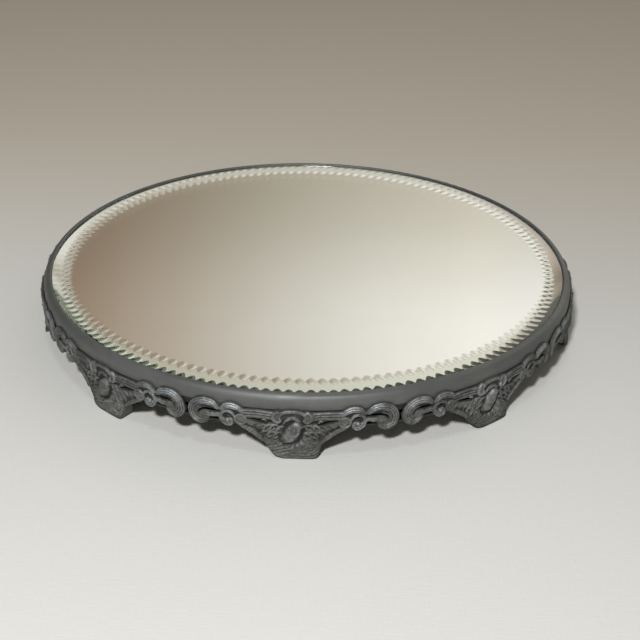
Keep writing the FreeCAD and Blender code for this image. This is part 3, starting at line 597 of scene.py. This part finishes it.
def gallery_metal():
    """Cast spelter with a dark patina; dirt and painted shade in the recesses, along the outline and on the
    walls and back; bluish crests that are rubbed wear and painted highlight.
    """
    s = Shader("gallery_metal", Metallic=0.4)
    patches = s.spread(s.noise(55.0, 4.0, 0.6), 0.38, 0.66)
    colour = s.blend(patches, (0.086, 0.088, 0.080), (0.140, 0.142, 0.133))
    specks = s.spread(s.noise(420.0, 3.0, 0.7), 0.45, 0.75)
    colour = s.blend(s.math("MULTIPLY", specks, 0.5), colour, (0.165, 0.168, 0.165))
    # Dirt and painted shade: dark in the recesses, along the outline and on the walls and back.
    dirt_and_shade = s.math("MULTIPLY", s.attribute("recess"), s.spread(s.noise(150.0, 3.0), 0.25, 0.55, 0.65, 1.0))
    colour = s.blend(dirt_and_shade, colour, (0.026, 0.023, 0.020))
    # Bluish lighter crests: rubbed wear and painted highlight.
    patchy = s.spread(s.noise(110.0, 3.0), 0.40, 0.60, 0.12, 1.0)
    rubbed_and_highlight = s.math("MULTIPLY", s.attribute("wear_and_highlight"), patchy, clamp=True)
    colour = s.blend(rubbed_and_highlight, colour, (0.33, 0.36, 0.39))
    rough = s.spread(s.noise(300.0, 2.0), 0.3, 0.7, 0.54, 0.68)
    rough = s.math("SUBTRACT", rough, s.math("MULTIPLY", rubbed_and_highlight, 0.20))
    pits = s.noise(1500.0, 3.0, 0.6)
    return s.finish(Base_Color=colour, Roughness=rough, Normal=s.bump(pits, 0.00009, 0.7))


def rim_metal():
    """Spun pewter-coloured moulding: satin, faintly lined round, with small dents and smudges."""
    s = Shader("rim_metal", Metallic=0.35)
    smudge = s.spread(s.noise(26.0, 4.0, 0.6, 0.4), 0.35, 0.68)
    colour = s.blend(smudge, (0.106, 0.110, 0.106), (0.132, 0.136, 0.130))
    turned = s.polar(900.0, 14.0, 900.0)
    lines = s.noise(1.0, 2.0, 0.6, place=turned)
    colour = s.blend(s.spread(lines, 0.50, 0.75, 0.0, 0.35), colour, (0.125, 0.128, 0.128))
    colour = s.blend(s.spread(s.noise(240.0, 4.0, 0.7), 0.60, 0.80, 0.0, 0.5), colour, (0.045, 0.043, 0.041))
    rough = s.math("ADD", s.spread(s.noise(60.0, 3.0), 0.3, 0.7, 0.44, 0.54), s.math("MULTIPLY", lines, 0.05))
    # Painted shade: below the gallery's top edge the rim turns nearly black, where it passes behind the
    # castings.
    split = s.node("ShaderNodeSeparateXYZ")
    s.feed(split.inputs[0], s.place)
    colour = s.blend(s.spread(split.outputs[2], 0.0274, 0.0262, 0.0, 0.95), colour, (0.012, 0.011, 0.010))
    dents = s.bump(s.noise(70.0, 2.0), 0.00035, 0.5)
    return s.finish(Base_Color=colour, Roughness=rough, Normal=s.bump(lines, 0.00003, 0.5, dents))


def glass():
    """Clear plate, faintly hazed, green where light travels far inside it."""
    s = Shader("glass", Base_Color=(0.976, 0.993, 0.983, 1.0), IOR=1.52)
    s.surface.inputs["Transmission Weight"].default_value = 1.0
    haze = s.spread(s.noise(18.0, 5.0, 0.6, 0.8), 0.45, 0.80, 0.0, 0.03)
    depth = s.node("ShaderNodeVolumeAbsorption")
    depth.inputs["Color"].default_value = (0.40, 0.66, 0.58, 1.0)
    depth.inputs["Density"].default_value = 1.8
    s.tree.links.new(depth.outputs[0], s.tree.nodes["Material Output"].inputs["Volume"])
    return s.finish(Roughness=haze)


def silvering():
    """Old silvering: warm, with a faint cloud and a few dark specks near the edge."""
    s = Shader("silvering", Metallic=1.0)
    cloud = s.spread(s.noise(14.0, 5.0, 0.6, 0.6), 0.40, 0.72)
    colour = s.blend(cloud, (0.955, 0.960, 0.950), (0.942, 0.946, 0.932))
    specks = s.spread(s.cells(260.0), 0.05, 0.02)
    rare = s.spread(s.noise(30.0, 2.0), 0.62, 0.72)
    colour = s.blend(s.math("MULTIPLY", s.math("MULTIPLY", specks, rare), 0.5), colour, (0.25, 0.22, 0.16))
    return s.finish(Base_Color=colour, Roughness=s.math("MULTIPLY", cloud, 0.05))


def felt():
    s = Shader("felt", Sheen_Weight=0.5, Sheen_Roughness=0.5, Roughness=0.95)
    fibres = s.noise(1.0, 5.0, 0.75, 1.6, place=s.stretched(900.0, 700.0, 1400.0))
    colour = s.blend(s.spread(fibres, 0.3, 0.7), (0.030, 0.036, 0.028), (0.085, 0.095, 0.075))
    return s.finish(Base_Color=colour, Normal=s.bump(fibres, 0.0003, 0.8))


def board():
    """Pressed hardboard: brown, with dark flecks of fibre and a faint screen pattern."""
    s = Shader("board", Roughness=0.8)
    fleck = s.noise(1.0, 5.0, 0.75, 0.5, place=s.stretched(260.0, 420.0, 900.0))
    colour = s.blend(s.spread(fleck, 0.32, 0.66), (0.16, 0.088, 0.042), (0.33, 0.205, 0.110))
    colour = s.blend(s.spread(s.noise(1300.0, 2.0), 0.60, 0.72, 0.0, 0.6), colour, (0.07, 0.038, 0.02))
    screen = s.cells(700.0)
    return s.finish(Base_Color=colour, Normal=s.bump(s.math("ADD", fleck, screen), 0.0002, 0.5))


def brushed(name, dark, light, rough, turned=False, spots=(0.10, 0.085, 0.07), soil=0.35):
    """Bare or plated metal with brush or lathe lines, soil and small spots."""
    s = Shader(name, Metallic=1.0)
    place = s.polar(2600.0, 9.0, 400.0) if turned else s.stretched(2200.0, 60.0, 900.0)
    lines = s.noise(1.0, 3.0, 0.65, place=place)
    colour = s.blend(s.spread(lines, 0.3, 0.7), dark, light)
    grime = s.spread(s.noise(90.0, 5.0, 0.65, 0.5), 0.48, 0.78, 0.0, soil)
    colour = s.blend(grime, colour, spots)
    roughness = s.math("ADD", s.spread(lines, 0.3, 0.7, rough, rough + 0.12), s.math("MULTIPLY", grime, 0.4))
    return s.finish(Base_Color=colour, Roughness=roughness, Normal=s.bump(lines, 0.00003, 0.5))


def plate_steel():
    """Black japanned sheet: slightly orange-peeled, brownish where it is thin, with a few rubs to steel."""
    s = Shader("plate_steel", Coat_Weight=0.12, Coat_Roughness=0.35)
    thin = s.spread(s.noise(24.0, 4.0, 0.6, 0.5), 0.42, 0.72)
    colour = s.blend(thin, (0.006, 0.006, 0.006), (0.022, 0.016, 0.011))
    rub = s.spread(s.noise(1.0, 5.0, 0.7, 0.8, place=s.polar(700.0, 40.0, 300.0)), 0.70, 0.76)
    colour = s.blend(s.math("MULTIPLY", rub, 0.7), colour, (0.22, 0.21, 0.20))
    rough = s.spread(s.noise(160.0, 3.0), 0.3, 0.7, 0.32, 0.5)
    peel = s.bump(s.noise(520.0, 2.0), 0.00012, 0.4)
    return s.finish(Base_Color=colour, Metallic=rub, Roughness=rough, Normal=peel)


def cage_plastic():
    s = Shader("cage_plastic", Subsurface_Weight=0.15, Subsurface_Scale=0.001, IOR=1.53)
    tint = s.spread(s.noise(60.0, 4.0), 0.35, 0.65)
    colour = s.blend(tint, (0.60, 0.57, 0.47), (0.72, 0.70, 0.61))
    colour = s.blend(s.spread(s.noise(420.0, 4.0, 0.7), 0.62, 0.76, 0.0, 0.5), colour, (0.20, 0.17, 0.12))
    return s.finish(Base_Color=colour, Roughness=s.spread(s.noise(800.0, 2.0), 0.3, 0.7, 0.38, 0.52),
                    Normal=s.bump(s.noise(1400.0, 2.0), 0.00004, 0.5))


def pad_rubber():
    s = Shader("pad_rubber", Roughness=0.85)
    dust = s.spread(s.noise(480.0, 5.0, 0.7), 0.45, 0.75)
    colour = s.blend(dust, (0.018, 0.018, 0.018), (0.085, 0.080, 0.074))
    return s.finish(Base_Color=colour, Normal=s.bump(s.cells(1800.0), 0.0001, 0.6))


def floor_cloth():
    """Plain pale cloth that the studio floor is covered with: a fine even weave, with painted shade that makes
    it darker and warmer towards the back.
    """
    s = Shader("studio_floor", Roughness=0.9)
    tone = s.spread(s.noise(1.6, 3.0, 0.5), 0.3, 0.7)
    colour = s.blend(tone, (0.680, 0.675, 0.648), (0.720, 0.715, 0.692))
    # Painted shade: darker and warmer towards the back.
    split = s.node("ShaderNodeSeparateXYZ")
    s.feed(split.inputs[0], s.place)
    colour = s.blend(s.spread(split.outputs[1], -0.05, 0.35, 0.0, 0.85), colour, (0.67, 0.585, 0.48))
    weave = s.math("ADD", s.noise(1.0, 2.0, place=s.stretched(900.0, 140.0, 1.0)),
                   s.noise(1.0, 2.0, place=s.stretched(140.0, 900.0, 1.0)))
    colour = s.blend(s.spread(weave, 0.7, 1.3, 0.0, 0.10), colour, (0.62, 0.61, 0.585))
    return s.finish(Base_Color=colour, Normal=s.bump(weave, 0.0005, 0.25))


MATERIALS = {
    "glass": glass(),
    "silvering": silvering(),
    "felt": felt(),
    "board": board(),
    "rim_metal": rim_metal(),
    "gallery_metal": gallery_metal(),
    "steel": brushed("steel", (0.27, 0.265, 0.25), (0.42, 0.41, 0.39), 0.36),
    "plate_steel": plate_steel(),
    "screw_steel": brushed("screw_steel", (0.38, 0.37, 0.33), (0.62, 0.60, 0.54), 0.30, turned=True,
                           soil=0.5),
    "race_aluminium": brushed("race_aluminium", (0.52, 0.52, 0.52), (0.74, 0.74, 0.74), 0.30, turned=True,
                              spots=(0.16, 0.15, 0.14)),
    "ball_steel": brushed("ball_steel", (0.58, 0.58, 0.58), (0.74, 0.74, 0.75), 0.12, soil=0.25),
    "cage_plastic": cage_plastic(),
    "pad_rubber": pad_rubber(),
}


def finish_cad_nodes():
    """The CAD nodes that stay keep their shape and take their material."""
    by_node = {
        "silver_backing": "silvering", "cushion_felt": "felt", "backing_board": "board",
        "rim_moulding": "rim_metal", "board_clips": "steel",
        "clip_screws": "screw_steel", "outer_race": "race_aluminium",
        "outer_race_screws": "screw_steel", "ball_cage": "cage_plastic", "bearing_balls": "ball_steel",
        "inner_race": "race_aluminium", "inner_race_screws": "screw_steel", "base_plate": "plate_steel",
        "casting_screws": "screw_steel", "foot_pads": "pad_rubber",
    }
    for name, material in by_node.items():
        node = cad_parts[name]
        node.data.materials.clear()
        node.data.materials.append(MATERIALS[material])


# ---------------------------------------------------------------- studio
def make_floor():
    size, cells = 3.0, 60
    line = np.linspace(-size, size, cells + 1)
    x, y = np.meshgrid(line, line, indexing="ij")
    vertices = np.stack([x, y, np.zeros_like(x)], -1).reshape(-1, 3)
    i, j = np.meshgrid(np.arange(cells), np.arange(cells), indexing="ij")
    first = i * (cells + 1) + j
    faces = np.stack([first, first + cells + 1, first + cells + 2, first + 1], -1).reshape(-1, 4)
    floor = new_piece("studio_floor", vertices, faces)
    floor.data.materials.append(floor_cloth())
    floor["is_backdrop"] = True


def make_light(name, azimuth, elevation, distance, size, power, colour):
    """Square soft box that looks at the object; azimuth is measured as for the camera."""
    data = bpy.data.lights.new(name, "AREA")
    data.shape, data.size, data.energy, data.color = "SQUARE", size, power, colour
    light = bpy.data.objects.new(name, data)
    bpy.context.scene.collection.objects.link(light)
    a, e = math.radians(azimuth), math.radians(elevation)
    way = Vector((math.sin(a) * math.cos(e), -math.cos(a) * math.cos(e), math.sin(e)))
    light.matrix_world = Matrix.Translation(way * distance) @ way.to_track_quat("Z", "Y").to_matrix().to_4x4()


def make_room():
    """Soft room light, the product of a ramp along each axis: dim and warm on the left, bright on the
    right, dark in front and uneven with height, as the mirror shows it."""
    world = bpy.data.worlds.new("studio_room")
    bpy.context.scene.world = world
    world.use_nodes = True
    tree = world.node_tree
    link = tree.links.new
    split = tree.nodes.new("ShaderNodeSeparateXYZ")
    link(tree.nodes.new("ShaderNodeTexCoord").outputs["Generated"], split.inputs[0])
    ramps = []
    for axis, low, high, stops in (
        (0, -0.45, 0.15, [(0.0, (0.11, 0.12, 0.095)), (0.30, (0.27, 0.21, 0.155)),
                          (0.44, (0.40, 0.31, 0.23)), (0.66, (0.68, 0.675, 0.613)),
                          (0.88, (0.985, 0.977, 0.91)), (1.0, (1.06, 1.05, 0.98))]),
        (1, -0.10, 0.80, [(0.0, (0.12, 0.115, 0.105)), (1.0, (1.0, 1.0, 1.0))]),
        (2, 0.18, 0.80, [(0.0, (0.96, 0.94, 0.89)), (0.186, (0.95, 0.93, 0.88)), (0.31, (0.65, 0.60, 0.53)),
                         (0.516, (1.04, 1.0, 0.99)), (0.80, (0.80, 0.79, 0.74)), (1.0, (0.78, 0.77, 0.73))]),
    ):
        span = tree.nodes.new("ShaderNodeMapRange")
        link(split.outputs[axis], span.inputs["Value"])
        span.inputs["From Min"].default_value, span.inputs["From Max"].default_value = low, high
        ramp = tree.nodes.new("ShaderNodeValToRGB")
        ramp.color_ramp.interpolation = "B_SPLINE" if axis == 0 else "EASE"
        link(span.outputs["Result"], ramp.inputs["Fac"])
        elements = ramp.color_ramp.elements
        elements[0].position, elements[0].color = stops[0][0], (*stops[0][1], 1.0)
        elements[1].position, elements[1].color = stops[-1][0], (*stops[-1][1], 1.0)
        for position, colour in stops[1:-1]:
            elements.new(position).color = (*colour, 1.0)
        ramps.append(ramp.outputs["Color"])

    def band(axis, low, high):
        gate = tree.nodes.new("ShaderNodeMapRange")
        gate.interpolation_type = "SMOOTHSTEP"
        link(split.outputs[axis], gate.inputs["Value"])
        gate.inputs["From Min"].default_value, gate.inputs["From Max"].default_value = low, high
        return gate.outputs["Result"]

    # Pale wall behind the photographer, low over the floor: the plate's back edge mirrors it.
    wall = band(1, -0.70, -0.86)
    for gate in (band(2, 0.16, 0.26), band(2, 0.56, 0.46)):
        both = tree.nodes.new("ShaderNodeMath")
        both.operation = "MULTIPLY"
        link(wall, both.inputs[0])
        link(gate, both.inputs[1])
        wall = both.outputs[0]
    product = ramps[0]
    for factor in ramps[1:]:
        mixer = tree.nodes.new("ShaderNodeMix")
        mixer.data_type, mixer.blend_type = "RGBA", "MULTIPLY"
        mixer.inputs["Factor"].default_value = 1.0
        link(product, mixer.inputs[6])
        link(factor, mixer.inputs[7])
        product = mixer.outputs[2]
    mixer = tree.nodes.new("ShaderNodeMix")
    mixer.data_type = "RGBA"
    link(wall, mixer.inputs["Factor"])
    link(product, mixer.inputs[6])
    mixer.inputs[7].default_value = (0.80, 0.79, 0.70, 1.0)
    link(mixer.outputs[2], tree.nodes["Background"].inputs["Color"])
    tree.nodes["Background"].inputs["Strength"].default_value = 0.95


make_camera()
finish_cad_nodes()
make_castings(draw_relief())
make_glass()
make_floor()
make_room()
make_light("high_softbox", -6.0, 70.0, 1.5, 0.22, 2.0, (0.90, 0.97, 1.0))
make_light("front_softbox", -8.0, 42.0, 1.2, 0.09, 10.5, (1.0, 1.0, 1.0))
bpy.context.scene.view_settings.view_transform = "Standard"
# Light that is trapped in the bevel crosses the whole plate before it leaves again.
TRAPPED_LIGHT_BOUNCES = 80
for kind in ("max_bounces", "glossy_bounces", "transmission_bounces"):
    setattr(bpy.context.scene.cycles, kind, TRAPPED_LIGHT_BOUNCES)

visual_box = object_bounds()
{"cad": [list(corner) for corner in cad_box], "visual": [list(corner) for corner in visual_box]}
